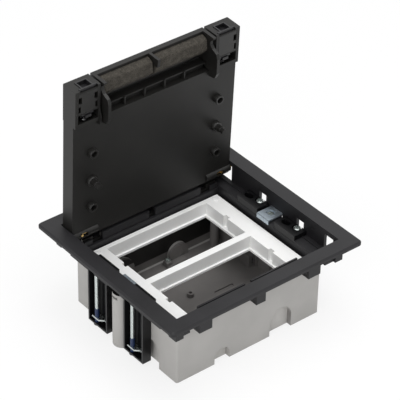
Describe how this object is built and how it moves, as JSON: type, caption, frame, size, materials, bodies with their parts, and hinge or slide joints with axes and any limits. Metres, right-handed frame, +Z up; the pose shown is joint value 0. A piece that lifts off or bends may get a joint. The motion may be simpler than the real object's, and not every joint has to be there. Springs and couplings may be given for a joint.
{
  "type": "floor socket box",
  "caption": "Square floor box with a hinged lid, a cable flap with foam, clamping claws and an open module carrier.",
  "frame": {"origin": "middle of the underside of the box, under the middle of the flange", "axes": "+Z up through the opening, +Y towards the lid's hinge, +X to the right seen from the front"},
  "size_m": [0.203, 0.1868, 0.2255],
  "materials": {
    "bezel_plastic": "fine-textured dark grey moulding",
    "lid_plastic": "fine-textured near-black moulding",
    "flap_plastic": "fine-textured near-black moulding",
    "box_plastic": "satin light grey moulding",
    "carrier_plastic": "satin white moulding",
    "tower_plastic": "glossy black moulding",
    "clamp_plastic": "satin grey moulding",
    "cover_plastic": "satin near-black moulding",
    "bolt_plastic": "satin dark grey moulding",
    "zinc_steel": "bright zinc plating",
    "stiffener_steel": "plain galvanised sheet",
    "spring_steel": "bright drawn wire",
    "pin_brass": "dull turned brass",
    "foam": "open-celled grey-brown foam"
  },
  "bodies": {
    "frame": {"bezel_frame": "bezel_plastic", "back_box": "box_plastic", "module_carrier": "carrier_plastic", "claw_tower_right_back": "tower_plastic", "claw_tower_right_front": "tower_plastic", "claw_tower_left_back": "tower_plastic", "claw_tower_left_front": "tower_plastic", "clamp_clip_right": "zinc_steel", "clamp_clip_left": "zinc_steel", "clip_screws": "zinc_steel", "clip_nuts": "zinc_steel", "cable_clamp": "clamp_plastic", "cable_clamp_screw": "zinc_steel"},
    "lid": {"lid_tray": "lid_plastic", "lid_stiffener": "stiffener_steel", "latch_cover_right": "cover_plastic", "latch_cover_left": "cover_plastic"},
    "flap": {"cable_flap": "flap_plastic", "foam_strip_right": "foam", "foam_strip_left": "foam"},
    "latch_right": {"latch_bolt_right": "bolt_plastic", "latch_spring_right": "spring_steel"},
    "pin_right": {"hinge_pin_right": "pin_brass", "hinge_spring_right": "spring_steel"},
    "latch_left": {"latch_bolt_left": "bolt_plastic", "latch_spring_left": "spring_steel"},
    "pin_left": {"hinge_pin_left": "pin_brass", "hinge_spring_left": "spring_steel"},
    "screw_right_back": {"claw_screw_right_back": "zinc_steel"},
    "claw_right_back": {"claw_plate_right_back": "zinc_steel"},
    "screw_right_front": {"claw_screw_right_front": "zinc_steel"},
    "claw_right_front": {"claw_plate_right_front": "zinc_steel"},
    "screw_left_back": {"claw_screw_left_back": "zinc_steel"},
    "claw_left_back": {"claw_plate_left_back": "zinc_steel"},
    "screw_left_front": {"claw_screw_left_front": "zinc_steel"},
    "claw_left_front": {"claw_plate_left_front": "zinc_steel"}
  },
  "joints": [
    {"name": "lid_hinge", "type": "hinge", "parent": "frame", "child": "lid", "pos_m": [0, 0.07275, 0.0743], "axis": [1, 0, 0], "range_deg": [0, 87.6]},
    {"name": "flap_hinge", "type": "hinge", "parent": "lid", "child": "flap", "pos_m": [0, 0.07202, 0.19913], "axis": [-1, 0, 0], "range_deg": [0, 75]},
    {"name": "latch_right_slide", "type": "slide", "parent": "lid", "child": "latch_right", "axis": [0, -0.0419, 0.9991], "range_m": [0, 0.0018]},
    {"name": "pin_right_slide", "type": "slide", "parent": "lid", "child": "pin_right", "axis": [-1, 0, 0], "range_m": [0, 0.0035], "stiffness_N_per_m": 200, "springref_m": -0.001},
    {"name": "latch_left_slide", "type": "slide", "parent": "lid", "child": "latch_left", "axis": [0, -0.0419, 0.9991], "range_m": [0, 0.0018]},
    {"name": "pin_left_slide", "type": "slide", "parent": "lid", "child": "pin_left", "axis": [1, 0, 0], "range_m": [0, 0.0035], "stiffness_N_per_m": 200, "springref_m": -0.001},
    {"name": "screw_right_back_turn", "type": "hinge", "parent": "frame", "child": "screw_right_back", "pos_m": [0.0835, 0.01925, 0.0089], "axis": [0, 0, -1], "range_deg": [0, 90]},
    {"name": "claw_right_back_climb", "type": "slide", "parent": "screw_right_back", "child": "claw_right_back", "axis": [0, 0, 1], "range_m": [0, 0.042]},
    {"name": "screw_right_front_turn", "type": "hinge", "parent": "frame", "child": "screw_right_front", "pos_m": [0.0835, -0.03045, 0.0089], "axis": [0, 0, -1], "range_deg": [0, 90]},
    {"name": "claw_right_front_climb", "type": "slide", "parent": "screw_right_front", "child": "claw_right_front", "axis": [0, 0, 1], "range_m": [0, 0.042]},
    {"name": "screw_left_back_turn", "type": "hinge", "parent": "frame", "child": "screw_left_back", "pos_m": [-0.0835, 0.03305, 0.0089], "axis": [0, 0, -1], "range_deg": [0, 90]},
    {"name": "claw_left_back_climb", "type": "slide", "parent": "screw_left_back", "child": "claw_left_back", "axis": [0, 0, 1], "range_m": [0, 0.042]},
    {"name": "screw_left_front_turn", "type": "hinge", "parent": "frame", "child": "screw_left_front", "pos_m": [-0.0835, -0.01665, 0.0089], "axis": [0, 0, -1], "range_deg": [0, 90]},
    {"name": "claw_left_front_climb", "type": "slide", "parent": "screw_left_front", "child": "claw_left_front", "axis": [0, 0, 1], "range_m": [0, 0.042]}
  ]
}
